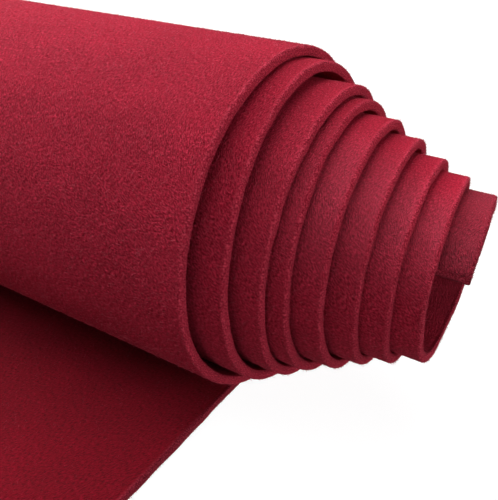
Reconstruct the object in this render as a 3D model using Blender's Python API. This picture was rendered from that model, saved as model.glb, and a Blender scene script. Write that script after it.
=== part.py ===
"""A roll of thick felt, pushed out sideways so that its wraps step out at the right-hand end.

One length of felt lies flat in front of the roll, leaves the surface under it, and winds inwards:
up the back, over the top, down the front. Turns are counted from the bottom of the outermost wrap.
"""

from collections import namedtuple
from math import cos, floor, pi, radians, sin

import bmesh
import bpy

# Driving sizes, in metres, and turns of the winding
MM = 0.001
FELT_THICKNESS = 0.003
FELT_WIDTH = 0.400
ROLL_RADIUS = 0.0598        # widest radius of the outermost wrap, front to back
SLUMP = 0.083               # share of that radius which the roll loses at its top and bottom
TAIL_LENGTH = 0.165         # loose end in front of the roll, from the line under the roll's middle
LIFT_OFF = 0.017            # turn at which the felt leaves the surface, which makes the flat spot
INNER_END = 8.68            # turn of the free end inside, hanging down at the front
INNER_END_SLANT = 0.0018    # how much longer the inner face is there than the outer face
STEPS_PER_TURN = 48
SHARP_ANGLE = radians(40)

# Deep crimson as linear colour, with the dull face of felt
FELT_COLOUR = (0.235, 0.008, 0.021, 1.0)
FELT_ROUGHNESS = 0.95

# The columns are the places where each wrap passes the bottom, back, top and front of the roll
Wrap = namedtuple("Wrap", "bottom back top front")

# Air between a wrap and the wrap outside it, in millimetres: a row for each wrap after the first
AIR = (
    Wrap(1.0, 0.4, 0.4, 3.3),
    Wrap(0.4, 1.2, 2.2, 2.6),
    Wrap(0.4, 0.4, 0.6, 1.2),
    Wrap(0.4, 1.3, 1.0, 1.0),
    Wrap(0.4, 0.4, 1.1, 1.8),
    Wrap(0.4, 0.4, 1.4, 0.4),
    Wrap(0.4, 0.4, 0.4, 0.5),
    Wrap(0.4, 0.4, 0.4, 0.4),
)

# How far right each wrap's cut edge lies, in millimetres: a row for each wrap, outermost first
EDGE = (
    Wrap(-3.3, -3.8, -3.4, -1.1),
    Wrap(2.9, 2.1, 3.4, 7.1),
    Wrap(9.6, 9.0, 13.1, 14.5),
    Wrap(15.9, 15.4, 17.0, 19.3),
    Wrap(21.9, 22.0, 25.4, 27.1),
    Wrap(29.6, 30.1, 33.2, 34.9),
    Wrap(36.1, 38.2, 40.7, 42.2),
    Wrap(43.7, 45.5, 48.3, 49.8),
    Wrap(52.2, 53.4, 56.9, 57.9),
)

QUARTERS = 4


def read_table(table, turn):
    """Value of a table at any turn, in metres, on a smooth curve that never overshoots its rows."""
    knots = [value * MM for row in table for value in row]
    place = min(max(turn * QUARTERS, 0.0), len(knots) - 1.001)
    first = floor(place)
    part = place - first
    rises = [after - before for before, after in zip(knots, knots[1:])]

    def slope(index):
        before = rises[max(index - 1, 0)]
        after = rises[min(index, len(rises) - 1)]
        return 2 * before * after / (before + after) if before * after > 0 else 0.0

    low, high = knots[first], knots[first + 1]
    ease = part * part * (3 - 2 * part)
    start = part * (1 - part) ** 2 * slope(first)
    end = part * part * (1 - part) * slope(first + 1)
    return low + (high - low) * ease + start - end


def outer_radius(turn):
    """Distance from the roll's middle line to the outer face of the felt."""
    wrap = floor(turn)
    part = turn - wrap
    radius = ROLL_RADIUS * (1 - SLUMP * cos(2 * pi * part) ** 2)
    drawn_in = (part + part * part * (3 - 2 * part)) / 2
    radius -= (FELT_THICKNESS + read_table(AIR, 0)) * drawn_in
    for inner in range(wrap):
        radius -= FELT_THICKNESS + read_table(AIR, inner + part)
    return radius


MIDDLE_HEIGHT = outer_radius(LIFT_OFF) * cos(2 * pi * LIFT_OFF)


def wound_point(turn, depth):
    """Place (y, z) of the felt in the winding, at a depth below its outer face."""
    radius = outer_radius(turn) - depth
    return radius * sin(2 * pi * turn), MIDDLE_HEIGHT - radius * cos(2 * pi * turn)


def felt_sections():
    """Cross lines of the felt from the loose end to the inner end.

    Each is the right edge's x, and the (y, z) of the outer and the inner face.
    """
    loose_edge = read_table(EDGE, 0)
    sections = [(loose_edge, (-TAIL_LENGTH, 0.0), (-TAIL_LENGTH, FELT_THICKNESS))]
    steps = round((INNER_END - LIFT_OFF) * STEPS_PER_TURN)
    for step in range(steps):
        turn = LIFT_OFF + step / STEPS_PER_TURN
        sections.append((read_table(EDGE, turn), wound_point(turn, 0.0), wound_point(turn, FELT_THICKNESS)))
    longer = INNER_END_SLANT / (2 * pi * outer_radius(INNER_END))
    outer = wound_point(INNER_END, 0.0)
    inner = wound_point(INNER_END + longer, FELT_THICKNESS)
    sections.append((read_table(EDGE, INNER_END), outer, inner))
    return sections


def felt_mesh():
    """One closed skin: outer face, inner face, the two long cut edges and the two cut ends."""
    mesh = bmesh.new()
    rings = []
    for edge, outer, inner in felt_sections():
        far = edge - FELT_WIDTH
        corners = ((edge, *outer), (edge, *inner), (far, *inner), (far, *outer))
        rings.append([mesh.verts.new(corner) for corner in corners])
    for before, after in zip(rings, rings[1:]):
        for corner in range(4):
            following = (corner + 1) % 4
            mesh.faces.new((before[corner], after[corner], after[following], before[following]))
    mesh.faces.new(rings[0])
    mesh.faces.new(reversed(rings[-1]))
    bmesh.ops.recalc_face_normals(mesh, faces=mesh.faces)
    data = bpy.data.meshes.new("felt")
    mesh.to_mesh(data)
    mesh.free()
    data.shade_smooth()
    data.set_sharp_from_angle(angle=SHARP_ANGLE)
    return data


def felt_material():
    material = bpy.data.materials.new("felt")
    material.use_nodes = True
    shader = material.node_tree.nodes["Principled BSDF"]
    shader.inputs["Base Color"].default_value = FELT_COLOUR
    shader.inputs["Roughness"].default_value = FELT_ROUGHNESS
    shader.inputs["Metallic"].default_value = 0.0
    return material


def middle_of_base(data):
    """Centre of the felt's bounding box, at the height that it rests on."""
    xs = [vertex.co.x for vertex in data.vertices]
    ys = [vertex.co.y for vertex in data.vertices]
    return (min(xs) + max(xs)) / 2, (min(ys) + max(ys)) / 2, 0.0


def build():
    for item in list(bpy.data.objects):
        bpy.data.objects.remove(item, do_unlink=True)
    data = felt_mesh()
    data.materials.append(felt_material())
    felt = bpy.data.objects.new("felt", data)
    felt.location = [-value for value in middle_of_base(data)]
    bpy.context.scene.collection.objects.link(felt)


build()
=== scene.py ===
"""Looks of the roll of felt: matted crimson cloth, soft cut edges, loose fibres and studio light."""

from collections import namedtuple
from math import cos, pi, radians, sin

import bpy
import numpy as np
from mathutils import Matrix, Vector

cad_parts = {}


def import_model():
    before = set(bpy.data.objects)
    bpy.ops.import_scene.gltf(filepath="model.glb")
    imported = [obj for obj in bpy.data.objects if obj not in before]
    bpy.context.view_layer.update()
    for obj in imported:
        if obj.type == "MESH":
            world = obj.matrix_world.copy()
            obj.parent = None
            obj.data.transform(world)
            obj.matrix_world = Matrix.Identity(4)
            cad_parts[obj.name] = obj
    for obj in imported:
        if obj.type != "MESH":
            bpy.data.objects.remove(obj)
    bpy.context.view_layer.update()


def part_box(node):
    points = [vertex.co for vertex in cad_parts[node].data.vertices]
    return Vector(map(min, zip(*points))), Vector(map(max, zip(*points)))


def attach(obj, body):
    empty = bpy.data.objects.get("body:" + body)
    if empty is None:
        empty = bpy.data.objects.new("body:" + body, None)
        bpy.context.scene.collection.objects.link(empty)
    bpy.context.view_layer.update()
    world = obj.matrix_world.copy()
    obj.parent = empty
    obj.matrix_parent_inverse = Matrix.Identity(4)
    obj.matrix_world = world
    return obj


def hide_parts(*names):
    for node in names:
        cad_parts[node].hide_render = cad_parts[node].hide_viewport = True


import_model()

# Sizes of the winding, in millimetres and turns, as the solids have them
THICKNESS = 3.0
WIDTH = 400.0
ROLL_RADIUS = 59.8          # widest radius of the outermost wrap, front to back
SLUMP = 0.083               # share of that radius which the roll loses at its top and bottom
TAIL_LENGTH = 165.0         # loose end, from the line under the roll's middle
LIFT_OFF = 0.017            # turn at which the felt leaves the surface
INNER_END = 8.68            # turn of the free end inside
INNER_END_SLANT = 1.8       # how much longer the inner face is there
MM = 0.001

# The columns are the places where each wrap passes the bottom, back, top and front of the roll
Wrap = namedtuple("Wrap", "bottom back top front")

# Air between a wrap and the wrap outside it: a row for each wrap after the first
AIR = (
    Wrap(1.0, 0.4, 0.4, 3.3),
    Wrap(0.4, 1.2, 2.2, 2.6),
    Wrap(0.4, 0.4, 0.6, 1.2),
    Wrap(0.4, 1.3, 1.0, 1.0),
    Wrap(0.4, 0.4, 1.1, 1.8),
    Wrap(0.4, 0.4, 1.4, 0.4),
    Wrap(0.4, 0.4, 0.4, 0.5),
    Wrap(0.4, 0.4, 0.4, 0.4),
)

# How far right each wrap's cut edge lies: a row for each wrap, outermost first
EDGE = (
    Wrap(-3.3, -3.8, -3.4, -1.1),
    Wrap(2.9, 2.1, 3.4, 7.1),
    Wrap(9.6, 9.0, 13.1, 14.5),
    Wrap(15.9, 15.4, 17.0, 19.3),
    Wrap(21.9, 22.0, 25.4, 27.1),
    Wrap(29.6, 30.1, 33.2, 34.9),
    Wrap(36.1, 38.2, 40.7, 42.2),
    Wrap(43.7, 45.5, 48.3, 49.8),
    Wrap(52.2, 53.4, 56.9, 57.9),
)

QUARTERS = 4                # table columns in a turn

# Fineness of the cloth's mesh
STEPS_PER_TURN = 112
TAIL_STEP = 3.0
CORNER_RADIUS = 0.80        # the cut edges are softly rounded
CORNER_STEPS = 4
CUT_FACE_STEPS = 4
RIGHT_LINES = (1.3, 2.1, 3.5, 6.0, 10.0, 16.0)      # mesh lines, in from the right edge
MIDDLE_LINES = np.linspace(26, WIDTH - 26, 13)
LEFT_LINES = (16.0, 6.0, 2.0)                       # mesh lines, in from the left edge
SHORTEST_STEP = 0.4         # share of a step below which the last station before the inner end goes

# Unevenness, in millimetres: how high, the size of a cell, and the seed
BROAD_SWELL = (0.07, 38, 1)
FINE_SWELL = (0.045, 9, 2)
BROAD_WAVER = (0.16, 7, 3)
FINE_WAVER = (0.10, 1.7, 4)
BROAD_WAVER_DEPTH = 3       # how much faster the cut edge's waver changes through the thickness
FINE_WAVER_DEPTH = 2
SWELL_FADE = 30             # how fast, per turn, the swell sets in on the outer face past the lift-off
NOISE_GRID = (97, 89)

# Loose fibres: rings of three points, as shares of the length and of the radius, and a tip
FIBRE_RINGS = ((0.0, 1.0), (0.5, 0.9))
FIBRE_CORNERS = 3
FIBRE_POINTS = 7
FIBRE_TRIANGLES = np.array([[0, 2, 1], [3, 4, 6], [4, 5, 6], [5, 3, 6]])
FIBRE_QUADS = np.array([[0, 1, 4, 3], [1, 2, 5, 4], [2, 0, 3, 5]])
FLOOR_CLEARANCE = 0.00002   # metres between the lowest fibres and the floor
SIDE_BEND = (-0.35, 0.35)
UP_BEND = (-0.1, 0.25)

# Fibres on the cut edges, and on the faces: lengths and radii in millimetres
EDGE_LENGTHS = (0.25, 0.75)
EDGE_RADII = (0.022, 0.044)
EDGE_CORNER_CROWDING = (0.8, 1.3)       # more fibres stand near the outer corner
EDGE_ROOT_DEPTH = 0.05                  # how far inside the felt the fibres are rooted
EDGE_SPREAD = 0.9                       # how much they lean along the edge
EDGE_SIDEWAYS = (0.25, 1.0)             # how much they point out of the cut
EDGE_OUTWARDS = (0.3, 1.4)              # and away from the face, near its corner
FACE_LENGTHS = (0.8, 2.4)
FACE_RADIUS = 0.050
LOOSE_END_RADIUS = 0.034
FACE_TURN_SPREAD = 0.40                 # radians that a fibre strays from the brushed direction
FACE_LIFT = 0.04                        # how much it rises off the face
WHOLE_WIDTH = (0.5, WIDTH - 0.5)
STEP_MARGIN = (0.2, 9.0)                # what shows of each wrap past the one outside it
FRONT_MARGIN = (0.3, 125.0)
FRONT_START = 0.42                      # share of the outer wrap at which the front's extra fibres start
TAIL_GAP = 10                           # the loose end's fibres stop this far from where it lifts off

# Directions of the nap in degrees, from across the cloth towards its length
STEEP = 72
UPRIGHT = 108
SLANT = -32
LYING = -62                 # on the loose end

# Sizes of the streaks of nap, along and across them and through the felt
STREAK = (0.85, 0.25, 0.6)
LYING_STREAK = (1.10, 0.28, 0.6)

# Fineness of the uneven looks, in cells to the millimetre
PITS = 3.8
TUFTS = 2.4                 # of the cut edges
CLOUDS = 0.045
WANDERING = 0.05
WANDER = 3.0                # how many millimetres the streaks wander sideways

# Long threads in the nap: direction, size, and width of the line
THREADS = (
    (-40, (5.5, 0.55, 1.0), 0.05),
    (-12, (4.5, 0.60, 1.0), 0.045),
)

# Spans in which a look comes on, in turns
LOOSE_END = (0.03, 0.0)
OUTER_WRAP = ((0.0, 0.2), (1.1, 0.9))
MARGIN_WRAPS = (1.2, 5.2)
HANGING_END = (7.9, 8.35)

# Spans in which a look comes on, in parts of a turn: 0 is the bottom, 0.25 the back, 0.5 the top
TO_UPRIGHT = (0.59, 0.66)
TO_SLANT = (0.64, 0.71)
FRONT = ((0.50, 0.72), (1.0, 0.86))
MARGIN_HEIGHT = ((0.78, 0.62), (0.49, 0.63))
FIBRE_TURNING = (0.59, 0.65, 0.71)          # where the fibres lie steep, upright and slanting

# Shades: place between the darkest pits and the palest tips, and linear colour
FACE_SHADES = (
    (0.385, (0.213, 0.0012, 0.0128)),
    (0.50, (0.425, 0.0076, 0.0305)),
    (0.615, (0.665, 0.0255, 0.0735)),
)
# the cut edge's own fuzzy colour, made paler and brighter as painted side light and sheen
CUT_FUZZ_AND_PAINTED_LIGHT = (
    (0.37, (0.310, 0.0070, 0.0260)),
    (0.50, (0.550, 0.0190, 0.0540)),
    (0.63, (0.790, 0.0700, 0.1250)),
)
FIBRE_SHADES = (
    (0.0, (0.52, 0.008, 0.036)),
    (0.6, (0.70, 0.030, 0.080)),
    (1.0, (0.88, 0.110, 0.180)),
)
CLOUD_TONES = (
    (0.3, (0.92, 0.92, 0.92)),
    (0.7, (1.06, 1.06, 1.06)),
)
WHITE = (1.0, 1.0, 1.0)
THREAD_COLOUR = (0.780, 0.0600, 0.1150, 1.0)
MARGIN_PAINTED_SHEEN = (0.900, 0.1700, 0.2500, 1.0)   # painted sheen: a pale veil on the showing margins of the inner wraps

# Tones that the felt is multiplied by, most of them painted shade or painted light
LOOSE_END_PAINTED_SHADE = (0.43, 0.10, 0.26)         # painted shade: the loose end's upper face is darker than the roll
# painted shade on the loose end's cut edges
LOOSE_CUT_PAINTED_SHADE = 0.50
INNER_END_PAINTED_SHADE = 0.63                       # painted shade: the hanging inner end is a little darker too
FIBRE_TONE = 0.85
# painted shade on the loose end's fibres
LOOSE_FIBRE_PAINTED_SHADE = 0.4
OUTER_WRAP_PAINTED_LIGHT = (0.98, 1.14)             # painted light: tone at its right edge, and paler further in
OUTER_WRAP_REACH = 95.0                     # from the right edge
LOOSE_TONE_LENGTH = 250.0                   # from the cut end to where the roll's back starts
LOOSE_TONE_SHARES = (0.62, 0.80)            # shares of that length between which the painted shade ends

# How much the nap's shades spread, and how much of each look shows
BACK_CONTRAST = 0.50
FRONT_CONTRAST = 1.20
LOOSE_CONTRAST = 0.50
NAP_SHARE = 0.70
PIT_SHARE = 0.30
THREAD_SHARE = 0.25
THREAD_HEIGHT = 0.12
# how much painted sheen shows, and below, its share on the hanging inner end
PAINTED_SHEEN_SHARE = 0.18
HANGING_END_SHARE = 0.75
BUMP_HEIGHT = 0.0016

# Soft lights: name, compass direction, height and spread in degrees, and strength
STUDIO_LIGHTS = (
    ("overhead", 0, 88, 36, 0.13),
    ("top_back", 120, 60, 36, 0.38),
    ("top_left", 180, 60, 36, 0.26),
    ("top_front", 240, 60, 36, 0.25),
    ("left_back", 154, 32, 30, 0.25),
    ("left", 190, 32, 30, 0.54),
    ("right", 350, 12, 30, 0.29),
    ("right_back", 20, 12, 30, 0.25),
    ("front_low", 285, 4, 36, 0.12),
)

SKY_STRENGTH = 0.03
FLOOR_GLOW = 0.43
GLOW_COLOUR = (1.0, 0.74, 0.80, 1.0)        # light that the felt and the floor pass between them
HORIZON = (-0.15, 0.05)     # heights, as the sine of the angle, between which the glow gives way to the sky
FLOOR_GREY = (0.15, 0.15, 0.15, 1)
FLOOR_LIGHT = 0.95          # the floor's own light

# Pale floor and its wall, in metres
FLOOR_HEIGHT = -0.0002
FLOOR_INNER_RADIUS = 2.0
FLOOR_RADIUS = 9.0
CURVE_RADIUS = 2.0
CURVE_ANGLES = np.linspace(0.1, pi / 2, 8)
WALL_HEIGHT = 9.0
SPOKES = 72

# Camera, in the winding's own frame: millimetres, radians, and pixels of the 498 x 500 picture
CAMERA_PLACE = (67.32, -153.53, 127.89)
CAMERA_YAW = 0.48376
CAMERA_PITCH = 0.46534
CAMERA_ROLL = 0.09112
CAMERA_FOCAL_PIXELS = 579.1
PICTURE_HEIGHT_PIXELS = 500
SENSOR_MM = 36.0

random = np.random.default_rng(20)


# Shape of the winding

def read_table(table, turns):
    """Values of a table at these turns, on a smooth curve that never overshoots its rows."""
    knots = np.array(table, float).ravel()
    place = np.clip(np.asarray(turns, float) * QUARTERS, 0, len(knots) - 1.001)
    first = place.astype(int)
    part = place - first
    rises = np.diff(knots)
    before = np.concatenate([rises[:1], rises])
    after = np.concatenate([rises, rises[-1:]])
    same_way = before * after > 0
    slopes = np.where(same_way, 2 * before * after / np.where(same_way, before + after, 1), 0)
    ease = part * part * (3 - 2 * part)
    start = part * (1 - part) ** 2 * slopes[first]
    end = part * part * (1 - part) * slopes[first + 1]
    return knots[first] + rises[first] * ease + start - end


def outer_radius(turns):
    """Distance from the roll's middle line to the felt's outer face."""
    turns = np.asarray(turns, float)
    wraps = np.floor(turns)
    part = turns - wraps
    radius = ROLL_RADIUS * (1 - SLUMP * np.cos(2 * pi * part) ** 2)
    drawn_in = (part + part * part * (3 - 2 * part)) / 2
    radius = radius - (THICKNESS + read_table(AIR, 0)) * drawn_in
    for inner in range(len(AIR)):
        radius = radius - np.where(wraps > inner, THICKNESS + read_table(AIR, inner + part), 0)
    return radius


MIDDLE_HEIGHT = float(outer_radius(LIFT_OFF)) * cos(2 * pi * LIFT_OFF)
LIFT_OFF_Y = float(outer_radius(LIFT_OFF)) * sin(2 * pi * LIFT_OFF)


class Cloth:
    """Stations along the felt from its loose end to its inner end.

    Each has its place along the cloth, its turn, the right edge's x, the (y, z) of its outer face,
    and the unit direction from the outer to the inner face.
    """

    def __init__(self):
        tail_steps = round((TAIL_LENGTH + LIFT_OFF_Y) / TAIL_STEP)
        tail_y = np.linspace(-TAIL_LENGTH, LIFT_OFF_Y, tail_steps, endpoint=False)
        lean = np.clip(tail_y / LIFT_OFF_Y, 0, 1) * 2 * pi * LIFT_OFF
        turns = np.arange(LIFT_OFF, INNER_END, 1 / STEPS_PER_TURN)
        if INNER_END - turns[-1] < SHORTEST_STEP / STEPS_PER_TURN:
            turns = turns[:-1]
        turns = np.append(turns, INNER_END)
        angles = 2 * pi * turns
        radius = outer_radius(turns)
        wound_y = radius * np.sin(angles)
        wound_z = MIDDLE_HEIGHT - radius * np.cos(angles)
        self.turns = np.concatenate([np.zeros(tail_steps), turns])
        self.y = np.concatenate([tail_y, wound_y])
        self.z = np.concatenate([np.zeros(tail_steps), wound_z])
        self.in_y = np.concatenate([-np.sin(lean), -np.sin(angles)])
        self.in_z = np.concatenate([np.cos(lean), np.cos(angles)])
        self.edge = read_table(EDGE, self.turns)
        middle_y = self.y + self.in_y * THICKNESS / 2
        middle_z = self.z + self.in_z * THICKNESS / 2
        steps = np.hypot(np.diff(middle_y), np.diff(middle_z))
        self.along = np.concatenate([[0], np.cumsum(steps)])
        self.length = float(self.along[-1])

    def place(self, along, across, depth):
        """World place of points given in sheet coordinates, in metres."""
        at = np.clip(along, 0, self.length)
        turn_edge = np.interp(at, self.along, self.edge)
        y = np.interp(at, self.along, self.y) + depth * np.interp(at, self.along, self.in_y)
        z = np.interp(at, self.along, self.z) + depth * np.interp(at, self.along, self.in_z)
        return np.stack([turn_edge - across, y, z], -1) * MM + OFFSET

    def directions(self, along):
        """Unit vectors along the cloth and from its inner to its outer face."""
        at = np.clip(along, 0.5, self.length - 0.5)
        ahead = self.place(at + 0.4, 0 * at, 0 * at) - self.place(at - 0.4, 0 * at, 0 * at)
        ahead /= np.linalg.norm(ahead, axis=-1, keepdims=True)
        out_y = -np.interp(at, self.along, self.in_y)
        out_z = -np.interp(at, self.along, self.in_z)
        out = np.stack([0 * at, out_y, out_z], -1)
        return ahead, out / np.linalg.norm(out, axis=-1, keepdims=True)


def uneven(along, across, kind):
    """Smooth random heights: a kind is how high they go, the size of a cell, and the seed."""
    height, cell, seed = kind
    rows, columns = NOISE_GRID
    grid = np.random.default_rng(seed).uniform(-1, 1, NOISE_GRID)
    a = along / cell
    b = across / cell
    i = np.floor(a).astype(int)
    j = np.floor(b).astype(int)
    fa = a - i
    fb = b - j
    fa = fa * fa * (3 - 2 * fa)
    fb = fb * fb * (3 - 2 * fb)
    here, there = i % rows, (i + 1) % rows
    near, far = j % columns, (j + 1) % columns
    low = grid[here, near] * (1 - fa) + grid[there, near] * fa
    high = grid[here, far] * (1 - fa) + grid[there, far] * fa
    return height * (low * (1 - fb) + high * fb)


# The winding's middle line at the bottom of its outermost wrap, in the frame's place
low_corner, high_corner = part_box("felt")
rightmost = float(read_table(EDGE, np.linspace(0, INNER_END, 4000)).max())
OFFSET = np.array([high_corner.x - rightmost * MM, low_corner.y + TAIL_LENGTH * MM, low_corner.z])
cloth = Cloth()


# Felt cloth

def profile():
    """Loop around the felt's cross-section: distance in from the right edge, depth, and cut mask.

    It runs along the outer face to the right edge, round the cut face, and back along the inner face.
    """
    r = CORNER_RADIUS
    arc = [pi / 2 * step / CORNER_STEPS for step in range(1, CORNER_STEPS)]
    face_in = [r, *RIGHT_LINES, *MIDDLE_LINES, *(WIDTH - line for line in LEFT_LINES), WIDTH - r]
    cut = list(np.linspace(r, THICKNESS - r, CUT_FACE_STEPS + 1))
    rows = [(a, 0.0, 0.0) for a in reversed(face_in)]
    rows[-1] = (r, 0.0, 0.5)
    rows += [(r - r * sin(t), r - r * cos(t), 1.0) for t in arc]
    rows += [(0.0, d, 1.0) for d in cut]
    rows += [(r - r * cos(t), THICKNESS - r + r * sin(t), 1.0) for t in arc]
    rows += [(a, THICKNESS, 0.0) for a in face_in]
    rows[-len(face_in)] = (r, THICKNESS, 0.5)
    rows += [(WIDTH - r + r * sin(t), THICKNESS - r + r * cos(t), 1.0) for t in arc]
    rows += [(WIDTH, d, 1.0) for d in reversed(cut)]
    rows += [(WIDTH - r + r * cos(t), r - r * sin(t), 1.0) for t in arc]
    return np.array(rows)


def felt_cloth():
    """The whole cloth as one closed skin with slightly uneven faces and cut edges."""
    loop = profile()
    stations, points = len(cloth.along), len(loop)
    across, depth, cut = (np.repeat(column[None, :], stations, 0) for column in loop.T)
    along = np.repeat(cloth.along[:, None], points, 1)
    outward = (THICKNESS / 2 - depth) / (THICKNESS / 2)
    wound = np.clip((cloth.turns[:, None] - LIFT_OFF) * SWELL_FADE, 0, 1)
    clear_of_floor = np.where(depth > THICKNESS / 2, 1.0, wound)
    swell = uneven(along, across, BROAD_SWELL) + uneven(along, across, FINE_SWELL)
    shifted = depth - swell * outward * clear_of_floor
    waver = uneven(along, depth * BROAD_WAVER_DEPTH, BROAD_WAVER)
    waver = waver + uneven(along, depth * FINE_WAVER_DEPTH, FINE_WAVER)
    side = np.where(across < WIDTH / 2, 1.0, -1.0)
    verts = cloth.place(along, across + waver * cut * side, shifted)
    longer = INNER_END_SLANT * depth[-1] / THICKNESS
    ahead, _ = cloth.directions(np.array([cloth.length]))
    verts[-1] += ahead * longer[:, None] * MM

    ring = np.arange(points)
    following = (ring + 1) % points
    base = (np.arange(stations - 1) * points)[:, None]
    quads = np.stack([base + ring, base + ring + points, base + following + points, base + following], -1)
    faces = quads.reshape(-1, 4).tolist() + end_faces(stations, points)
    data = bpy.data.meshes.new("felt_cloth")
    data.from_pydata(verts.reshape(-1, 3).tolist(), [], faces)
    store(data, "sheet", "FLOAT_VECTOR", "vector", np.stack([across, along, shifted], -1))
    store(data, "cut", "FLOAT", "value", cut)
    store(data, "turn", "FLOAT", "value", np.repeat(cloth.turns, points))
    return finish_mesh("felt_cloth", data)


def end_faces(stations, points):
    """Strips from the outer to the inner face that close both cut ends."""
    faces = []
    for station, flip in ((0, False), (stations - 1, True)):
        first = station * points
        last = first + points - 1
        for step in range(points // 2 - 1):
            quad = [first + step, first + step + 1, last - 1 - step, last - step]
            faces.append(quad[::-1] if flip else quad)
    return faces


def store(data, name, kind, field, values):
    """Keeps a value for each point: its place on the flat sheet in millimetres, cut mask or turn."""
    attribute = data.attributes.new(name, kind, "POINT")
    attribute.data.foreach_set(field, np.asarray(values, np.float32).ravel())


def finish_mesh(name, data):
    data.update()
    data.validate()
    data.shade_smooth()
    item = bpy.data.objects.new(name, data)
    bpy.context.scene.collection.objects.link(item)
    return item


# Loose fibres

def fibre_piece(name, roots, ways, lifts, lengths, radii):
    """Thin closed spikes: each leaves its root along its way and bends towards its lift."""
    count = len(roots)
    ways = ways / np.linalg.norm(ways, axis=-1, keepdims=True)
    lifts = lifts / np.linalg.norm(lifts, axis=-1, keepdims=True)
    sides = np.cross(ways, lifts)
    sides /= np.linalg.norm(sides, axis=-1, keepdims=True)
    ups = np.cross(sides, ways)
    side_bends = random.uniform(*SIDE_BEND, (count, 1))
    up_bends = random.uniform(*UP_BEND, (count, 1))
    bends = side_bends * sides + up_bends * ups
    points = []
    for share, size in FIBRE_RINGS:
        middle = roots + lengths[:, None] * (ways * share + bends * share * share)
        for corner in range(FIBRE_CORNERS):
            angle = 2 * pi * corner / FIBRE_CORNERS
            ring = np.cos(angle) * sides + np.sin(angle) * ups
            points.append(middle + ring * (radii * size)[:, None])
    points.append(roots + lengths[:, None] * (ways + bends))
    verts = np.stack(points, 1).reshape(-1, 3)
    verts[:, 2] = np.maximum(verts[:, 2], OFFSET[2] + FLOOR_CLEARANCE)
    base = (np.arange(count) * FIBRE_POINTS)[:, None, None]
    faces = (base + FIBRE_TRIANGLES).reshape(-1, 3).tolist()
    faces += (base + FIBRE_QUADS).reshape(-1, 4).tolist()
    data = bpy.data.meshes.new(name)
    data.from_pydata(verts.tolist(), [], faces)
    return finish_mesh(name, data)


def edge_fibres(name, count, right):
    """Short fibres that stand out of a cut edge, most of them near its outer corner."""
    along = random.uniform(0, cloth.length, count)
    inner_share = random.beta(*EDGE_CORNER_CROWDING, count)
    depth = inner_share * (THICKNESS - 2 * EDGE_ROOT_DEPTH) + EDGE_ROOT_DEPTH
    corner = np.clip(CORNER_RADIUS - np.minimum(depth, THICKNESS - depth), 0, None)
    rounding = np.sqrt(np.maximum(CORNER_RADIUS ** 2 - corner ** 2, 0))
    across = EDGE_ROOT_DEPTH + CORNER_RADIUS - rounding
    across = across if right else WIDTH - across
    ahead, out = cloth.directions(along)
    out = out * np.where(depth < THICKNESS / 2, 1.0, -1.0)[:, None] * (corner / CORNER_RADIUS)[:, None]
    side = (1.0 if right else -1.0) * np.array([1.0, 0, 0])
    roots = cloth.place(along, across, depth)
    spread = random.normal(0, EDGE_SPREAD, (count, 1))
    sideways = random.uniform(*EDGE_SIDEWAYS, (count, 1))
    outwards = random.uniform(*EDGE_OUTWARDS, (count, 1))
    ways = side * sideways + ahead * spread + out * outwards
    lengths = random.uniform(*EDGE_LENGTHS, count) * MM
    radii = random.uniform(*EDGE_RADII, count) * MM
    return fibre_piece(name, roots, ways, np.broadcast_to(side, ways.shape), lengths, radii)


def face_fibres(name, count, along_range, across_range, outer=True):
    """Fibres that lie on the felt's outer or inner face, the way its nap is brushed there."""
    along = random.uniform(*along_range, count)
    across = random.uniform(*across_range, count)
    ahead, out = cloth.directions(along)
    up = out if outer else -out
    roots = cloth.place(along, across, np.full(count, 0.0 if outer else THICKNESS))
    part = np.interp(along, cloth.along, cloth.turns) % 1
    lay = np.interp(part, FIBRE_TURNING, (STEEP, UPRIGHT, SLANT + 180)) if outer else np.full(count, LYING)
    turn = (np.radians(lay) + random.normal(0, FACE_TURN_SPREAD, count))[:, None]
    flip = np.where(random.random(count) < 0.5, -1.0, 1.0)[:, None]
    ways = flip * (np.array([1.0, 0, 0]) * np.cos(turn) + ahead * np.sin(turn)) + up * FACE_LIFT
    lengths = random.uniform(*FACE_LENGTHS, count) * MM
    radii = random.uniform(0.5, 1.0, count) * (FACE_RADIUS if outer else LOOSE_END_RADIUS) * MM
    return fibre_piece(name, roots, ways, up, lengths, radii)


# Materials

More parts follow.
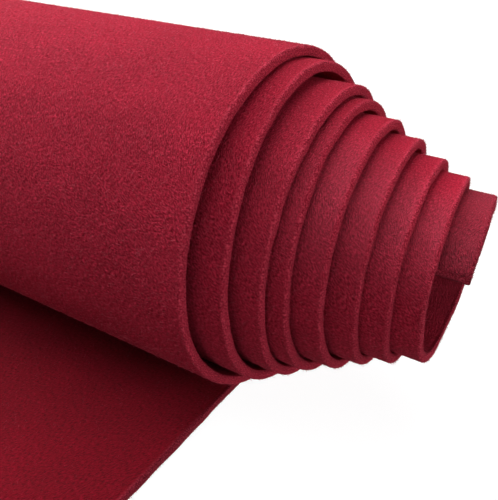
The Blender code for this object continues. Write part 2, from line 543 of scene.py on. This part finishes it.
class Nodes:
    """A material's node tree, with short calls for the nodes used here."""

    def __init__(self, name):
        self.material = bpy.data.materials.new(name)
        self.material.use_nodes = True
        self.tree = self.material.node_tree
        self.shader = self.tree.nodes["Principled BSDF"]

    def put(self, value, socket):
        if isinstance(value, bpy.types.NodeSocket):
            self.tree.links.new(value, socket)
        else:
            socket.default_value = value

    def attribute(self, name, output):
        node = self.tree.nodes.new("ShaderNodeAttribute")
        node.attribute_name = name
        return node.outputs[output]

    def math(self, operation, a, b=0.0, clamp=False):
        node = self.tree.nodes.new("ShaderNodeMath")
        node.operation = operation
        node.use_clamp = clamp
        self.put(a, node.inputs[0])
        self.put(b, node.inputs[1])
        return node.outputs[0]

    def vector_math(self, operation, a, b):
        node = self.tree.nodes.new("ShaderNodeVectorMath")
        node.operation = operation
        self.put(a, node.inputs[0])
        self.put(b, node.inputs[1])
        return node.outputs[0]

    def stretched(self, vector, turn, size):
        """Coordinates in which noise comes out this large along a direction turned by so many degrees."""
        node = self.tree.nodes.new("ShaderNodeMapping")
        node.vector_type = "TEXTURE"
        self.put(vector, node.inputs["Vector"])
        node.inputs["Rotation"].default_value = (0, 0, radians(turn))
        node.inputs["Scale"].default_value = size
        return node.outputs[0]

    def axis(self, vector, name):
        node = self.tree.nodes.new("ShaderNodeSeparateXYZ")
        self.put(vector, node.inputs[0])
        return node.outputs[name]

    def between(self, value, span):
        """Smooth share from 0 to 1 as a value goes from the start of a span to its end."""
        node = self.tree.nodes.new("ShaderNodeMapRange")
        node.interpolation_type = "SMOOTHSTEP"
        self.put(value, node.inputs["Value"])
        node.inputs["From Min"].default_value, node.inputs["From Max"].default_value = span
        return node.outputs["Result"]

    def within(self, value, spans):
        """Share that comes on over the first span and goes again over the second."""
        return self.math("MULTIPLY", *(self.between(value, span) for span in spans))

    def blend(self, share, a, b):
        """Value a at share 0 and value b at share 1."""
        kept = self.math("MULTIPLY", a, self.math("SUBTRACT", 1.0, share))
        return self.math("ADD", kept, self.math("MULTIPLY", b, share))

    def weighted(self, *parts):
        """Sum of values, each times its share."""
        total = None
        for value, share in parts:
            term = self.math("MULTIPLY", value, share)
            total = term if total is None else self.math("ADD", total, term)
        return total

    def noise(self, vector, scale, detail, roughness, output="Fac"):
        node = self.tree.nodes.new("ShaderNodeTexNoise")
        self.put(vector, node.inputs["Vector"])
        node.inputs["Scale"].default_value = scale
        node.inputs["Detail"].default_value = detail
        node.inputs["Roughness"].default_value = roughness
        return node.outputs[output]

    def streaks(self, vector, turn, size):
        return self.noise(self.stretched(vector, turn, size), 1.0, 0.0, 0.5)

    def thread(self, vector, turn, size, width):
        """Thin winding lines, 1 on the line and 0 off it."""
        winding = self.noise(self.stretched(vector, turn, size), 1.0, 1.0, 0.5)
        off_line = self.math("ABSOLUTE", self.math("SUBTRACT", winding, 0.5))
        return self.between(off_line, (width, 0.0))

    def ramp(self, value, stops):
        node = self.tree.nodes.new("ShaderNodeValToRGB")
        self.put(value, node.inputs[0])
        points = node.color_ramp.elements
        while len(points) < len(stops):
            points.new(0.5)
        for point, (place, colour) in zip(points, stops):
            point.position = place
            point.color = (*colour, 1.0)
        return node.outputs[0]

    def grey(self, value):
        node = self.tree.nodes.new("ShaderNodeCombineColor")
        for socket in node.inputs[:3]:
            self.put(value, socket)
        return node.outputs[0]

    def mix(self, share, a, b, kind="MIX"):
        node = self.tree.nodes.new("ShaderNodeMix")
        node.data_type = "RGBA"
        node.blend_type = kind
        self.put(share, node.inputs[0])
        self.put(a, node.inputs[6])
        self.put(b, node.inputs[7])
        return node.outputs[2]

    def toned(self, colour, tone):
        return self.mix(1.0, colour, tone, "MULTIPLY")

    def bump(self, height, distance):
        node = self.tree.nodes.new("ShaderNodeBump")
        node.inputs["Strength"].default_value = 1.0
        node.inputs["Distance"].default_value = distance
        self.put(height, node.inputs["Height"])
        self.put(node.outputs[0], self.shader.inputs["Normal"])

    def set_shader(self, **values):
        for name, value in values.items():
            self.shader.inputs[name.replace("_", " ")].default_value = value


def wandering(nodes, sheet):
    """Places on the sheet, moved a little so that the streaks of nap don't run straight."""
    wander = nodes.noise(sheet, WANDERING, 2.0, 0.5, "Color")
    wander = nodes.vector_math("SUBTRACT", wander, (0.5, 0.5, 0.5))
    wander = nodes.vector_math("MULTIPLY", wander, (WANDER, WANDER, 0.0))
    return nodes.vector_math("ADD", sheet, wander)


def matted_nap(nodes, sheet, place, turn, loose_end, front):
    """Height of the matted fibres from 0 to 1: streaks that turn direction round the roll, over pits."""
    part = nodes.math("FRACT", turn)
    steep, upright, slant = (nodes.streaks(place, lay, STREAK) for lay in (STEEP, UPRIGHT, SLANT))
    lying = nodes.streaks(place, LYING, LYING_STREAK)
    nap = nodes.blend(nodes.between(part, TO_UPRIGHT), steep, upright)
    nap = nodes.blend(nodes.between(part, TO_SLANT), nap, slant)
    nap = nodes.blend(loose_end, nap, lying)
    pits = nodes.noise(sheet, PITS, 0.0, 0.5)
    matted = nodes.weighted((nap, NAP_SHARE), (pits, PIT_SHARE))
    contrast = nodes.blend(front, BACK_CONTRAST, FRONT_CONTRAST)
    contrast = nodes.blend(loose_end, contrast, LOOSE_CONTRAST)
    raised = nodes.math("MULTIPLY", nodes.math("SUBTRACT", matted, 0.5), contrast)
    return nodes.math("ADD", raised, 0.5)


def painted_sheen_share(nodes, turn):
    """Share of painted sheen: on the inner wraps at mid height, and on the hanging inner end."""
    height = nodes.within(nodes.math("FRACT", turn), MARGIN_HEIGHT)
    wraps = nodes.math("MULTIPLY", nodes.between(turn, MARGIN_WRAPS), height)
    hanging = nodes.math("MULTIPLY", nodes.between(turn, HANGING_END), HANGING_END_SHARE)
    return nodes.math("MULTIPLY", nodes.math("MAXIMUM", wraps, hanging), PAINTED_SHEEN_SHARE)


def loose_end_painted_shade(nodes, sheet):
    """Painted shade on the loose end's upper face, which ends under the roll."""
    reach = nodes.math("DIVIDE", nodes.axis(sheet, "Y"), LOOSE_TONE_LENGTH, clamp=True)
    tone = nodes.ramp(reach, list(zip(LOOSE_TONE_SHARES, (LOOSE_END_PAINTED_SHADE, WHITE))))
    depth = nodes.math("DIVIDE", nodes.axis(sheet, "Z"), THICKNESS, clamp=True)
    return nodes.mix(depth, (*WHITE, 1.0), tone)


def felt_material():
    """Matted crimson fibres with long threads over them, and a rougher cut edge."""
    nodes = Nodes("felt")
    sheet = nodes.attribute("sheet", "Vector")
    cut = nodes.attribute("cut", "Fac")
    turn = nodes.attribute("turn", "Fac")
    loose_end = nodes.between(turn, LOOSE_END)
    front = nodes.within(nodes.math("FRACT", turn), FRONT)
    place = wandering(nodes, sheet)
    matted = matted_nap(nodes, sheet, place, turn, loose_end, front)
    threads = nodes.math("MAXIMUM", *(nodes.thread(place, *thread) for thread in THREADS))
    threads = nodes.math("MULTIPLY", threads, front)

    colour = nodes.ramp(matted, FACE_SHADES)
    colour = nodes.mix(nodes.math("MULTIPLY", threads, THREAD_SHARE), colour, THREAD_COLOUR)
    # painted sheen on the inner wraps' margins and the hanging inner end
    colour = nodes.mix(painted_sheen_share(nodes, turn), colour, MARGIN_PAINTED_SHEEN)
    cloud = nodes.noise(sheet, CLOUDS, 3.0, 0.55)
    colour = nodes.toned(colour, nodes.ramp(cloud, CLOUD_TONES))
    # painted light: the outer wrap grows paler away from its right edge
    painted_light_falloff = nodes.blend(nodes.between(nodes.axis(sheet, "X"), (0.0, OUTER_WRAP_REACH)), *OUTER_WRAP_PAINTED_LIGHT)
    colour = nodes.mix(nodes.within(turn, OUTER_WRAP), colour, nodes.toned(colour, nodes.grey(painted_light_falloff)))
    # painted shade on the loose end's upper face
    colour = nodes.toned(colour, loose_end_painted_shade(nodes, sheet))

    tuft = nodes.noise(sheet, TUFTS, 1.0, 0.6)
    # painted shade: the loose end's cut edges are darker
    loose_cut_painted_shade = nodes.grey(nodes.blend(loose_end, 1.0, LOOSE_CUT_PAINTED_SHADE))
    # cut edges: their own fuzz colour plus painted side light
    colour = nodes.mix(cut, colour, nodes.toned(nodes.ramp(tuft, CUT_FUZZ_AND_PAINTED_LIGHT), loose_cut_painted_shade))
    # painted shade on the hanging inner end
    inner_end_painted_shade = nodes.blend(nodes.between(turn, HANGING_END), 1.0, INNER_END_PAINTED_SHADE)
    colour = nodes.toned(colour, nodes.grey(inner_end_painted_shade))
    nodes.put(colour, nodes.shader.inputs["Base Color"])

    relief = nodes.math("ADD", matted, nodes.math("MULTIPLY", threads, THREAD_HEIGHT))
    relief = nodes.math("ADD", relief, nodes.math("MULTIPLY", tuft, cut))
    nodes.bump(relief, BUMP_HEIGHT)
    nodes.set_shader(Roughness=0.9, Specular_IOR_Level=0.16)
    return nodes.material


def fibre_material(name, tone):
    """Single fibres, a little paler than the matted face."""
    nodes = Nodes(name)
    geometry = nodes.tree.nodes.new("ShaderNodeNewGeometry")
    shade = nodes.ramp(geometry.outputs["Random Per Island"], FIBRE_SHADES)
    shade = nodes.toned(shade, (tone, tone, tone, 1.0))
    nodes.put(shade, nodes.shader.inputs["Base Color"])
    nodes.set_shader(Roughness=0.9, Sheen_Weight=0.1, Sheen_Roughness=0.4, Specular_IOR_Level=0.2)
    return nodes.material


# Studio

def studio_sweep():
    """White floor that curves up into a wall all round, lit evenly, with the object's soft shadow on it."""
    flat = [(FLOOR_INNER_RADIUS, FLOOR_HEIGHT), (FLOOR_RADIUS, FLOOR_HEIGHT)]
    curve = [(FLOOR_RADIUS + CURVE_RADIUS * sin(t), CURVE_RADIUS * (1 - cos(t))) for t in CURVE_ANGLES]
    rings = [*flat, *curve, (FLOOR_RADIUS + CURVE_RADIUS, WALL_HEIGHT)]
    angles = [2 * pi * k / SPOKES for k in range(SPOKES)]
    verts = [(r * cos(angle), r * sin(angle), z) for r, z in rings for angle in angles]
    faces = [tuple(range(SPOKES))]
    for ring in range(len(rings) - 1):
        low = ring * SPOKES
        for k in range(SPOKES):
            following = (k + 1) % SPOKES
            faces.append((low + k, low + SPOKES + k, low + SPOKES + following, low + following))
    data = bpy.data.meshes.new("studio_sweep")
    data.from_pydata(verts, [], faces)
    item = finish_mesh("studio_sweep", data)
    nodes = Nodes("studio_sweep")
    nodes.set_shader(Base_Color=FLOOR_GREY, Roughness=1.0, Specular_IOR_Level=0.0)
    nodes.set_shader(Emission_Color=(*WHITE, 1), Emission_Strength=FLOOR_LIGHT)
    data.materials.append(nodes.material)
    item.visible_diffuse = False
    item.visible_glossy = False
    item.visible_shadow = False


def world():
    """Faint light from above and the pale floor's reflected light from below."""
    scene = bpy.context.scene
    scene.world = bpy.data.worlds.new("studio")
    scene.world.use_nodes = True
    tree = scene.world.node_tree
    background = tree.nodes["Background"]
    direction = tree.nodes.new("ShaderNodeTexCoord")
    parts = tree.nodes.new("ShaderNodeSeparateXYZ")
    height = tree.nodes.new("ShaderNodeMapRange")
    height.inputs["From Min"].default_value, height.inputs["From Max"].default_value = HORIZON
    height.inputs["To Min"].default_value = FLOOR_GLOW
    height.inputs["To Max"].default_value = SKY_STRENGTH
    tree.links.new(direction.outputs["Generated"], parts.inputs[0])
    tree.links.new(parts.outputs["Z"], height.inputs["Value"])
    tree.links.new(height.outputs["Result"], background.inputs["Strength"])
    background.inputs["Color"].default_value = GLOW_COLOUR


def soft_sun(name, azimuth, elevation, spread, strength):
    """Wide distant light from a compass direction, with angles in degrees."""
    data = bpy.data.lights.new(name, "SUN")
    data.angle = radians(spread)
    data.energy = strength * pi
    item = bpy.data.objects.new(name, data)
    a, e = radians(azimuth), radians(elevation)
    towards = Vector((cos(a) * cos(e), sin(a) * cos(e), sin(e)))
    item.rotation_euler = (-towards).to_track_quat("-Z", "Y").to_euler()
    bpy.context.scene.collection.objects.link(item)


def camera():
    """Camera at the picture's viewing angle, from its yaw, pitch and roll."""
    forward = cos(CAMERA_PITCH)
    ahead = np.array([-sin(CAMERA_YAW) * forward, cos(CAMERA_YAW) * forward, -sin(CAMERA_PITCH)])
    level = np.cross(ahead, [0, 0, 1])
    level /= np.linalg.norm(level)
    upright = np.cross(level, ahead)
    right = cos(CAMERA_ROLL) * level + sin(CAMERA_ROLL) * upright
    up = -sin(CAMERA_ROLL) * level + cos(CAMERA_ROLL) * upright
    data = bpy.data.cameras.new("camera")
    data.sensor_fit = "VERTICAL"
    data.sensor_height = SENSOR_MM
    data.lens = CAMERA_FOCAL_PIXELS * SENSOR_MM / PICTURE_HEIGHT_PIXELS
    data.clip_start = 0.01
    item = bpy.data.objects.new("camera", data)
    turn = Matrix((right, up, -ahead)).transposed()
    item.matrix_world = Matrix.Translation(np.array(CAMERA_PLACE) * MM + OFFSET) @ turn.to_4x4()
    bpy.context.scene.collection.objects.link(item)
    bpy.context.scene.camera = item


def dress():
    camera()
    felt = felt_cloth()
    felt.data.materials.append(felt_material())
    wound_start = float(np.interp(LIFT_OFF, cloth.turns, cloth.along))
    one_turn = float(np.interp(1.0, cloth.turns, cloth.along))
    front = FRONT_START * one_turn + (1 - FRONT_START) * wound_start
    hairs = [
        edge_fibres("right_edge_fibres", 19000, True),
        edge_fibres("left_edge_fibres", 9000, False),
        face_fibres("wrap_fibres", 18000, (wound_start, one_turn), WHOLE_WIDTH),
        face_fibres("tail_fibres", 8000, (0.0, wound_start - TAIL_GAP), WHOLE_WIDTH, outer=False),
        face_fibres("step_fibres", 6000, (one_turn, cloth.length), STEP_MARGIN),
        face_fibres("front_fibres", 19000, (front, one_turn), FRONT_MARGIN),
    ]
    pale = fibre_material("felt_fibre", FIBRE_TONE)
    # painted shade: the loose end's fibres are darker
    loose_end_shaded_fibre = fibre_material("felt_fibre_loose_end", LOOSE_FIBRE_PAINTED_SHADE)
    for hair in hairs:
        hair.data.materials.append(loose_end_shaded_fibre if hair.name == "tail_fibres" else pale)
    for piece in [felt, *hairs]:
        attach(piece, "root")
    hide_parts("felt")


dress()
studio_sweep()
world()
for name, azimuth, elevation, spread, strength in STUDIO_LIGHTS:
    soft_sun(name, azimuth, elevation, spread, strength)
bpy.context.scene.view_settings.view_transform = "Standard"
